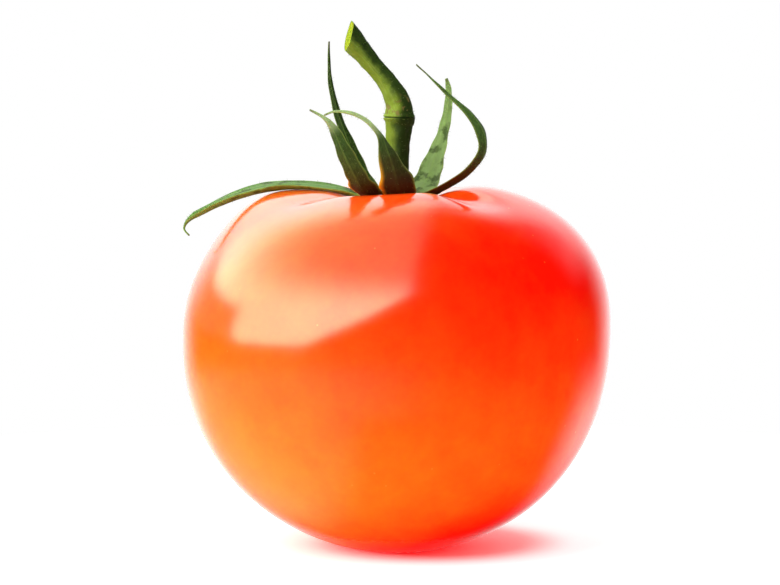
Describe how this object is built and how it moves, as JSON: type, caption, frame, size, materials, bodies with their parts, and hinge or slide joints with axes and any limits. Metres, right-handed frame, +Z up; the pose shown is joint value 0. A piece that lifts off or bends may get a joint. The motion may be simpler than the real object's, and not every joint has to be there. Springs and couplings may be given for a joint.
{
  "type": "tomato",
  "caption": "Whole ripe round tomato standing on its blossom end, with a curled green calyx in a shallow dimple and a cut fruit stalk with a knuckle.",
  "frame": {"origin": "middle of the small flat spot at the blossom end that the fruit rests on", "axes": "+Z up through the fruit towards the stalk, +X to the right and +Y to the back when the cut end of the stalk points left"},
  "size_m": [0.0705, 0.069, 0.0869],
  "materials": {
    "ripe_skin": "smooth glossy ripe skin, red shading to orange",
    "calyx": "soft green, finely hairy",
    "stalk": "ridged green stalk with a yellow-green cut end, finely hairy",
    "sepal": "matt leafy green, paler inside, finely hairy"
  },
  "bodies": {
    "root": {"fruit": "ripe_skin", "calyx_disc": "calyx", "stalk": "stalk", "sepal_left": "sepal", "sepal_front_left": "sepal", "sepal_back_left": "sepal", "sepal_front": "sepal", "sepal_back_right": "sepal", "sepal_right": "sepal"}
  },
  "joints": []
}
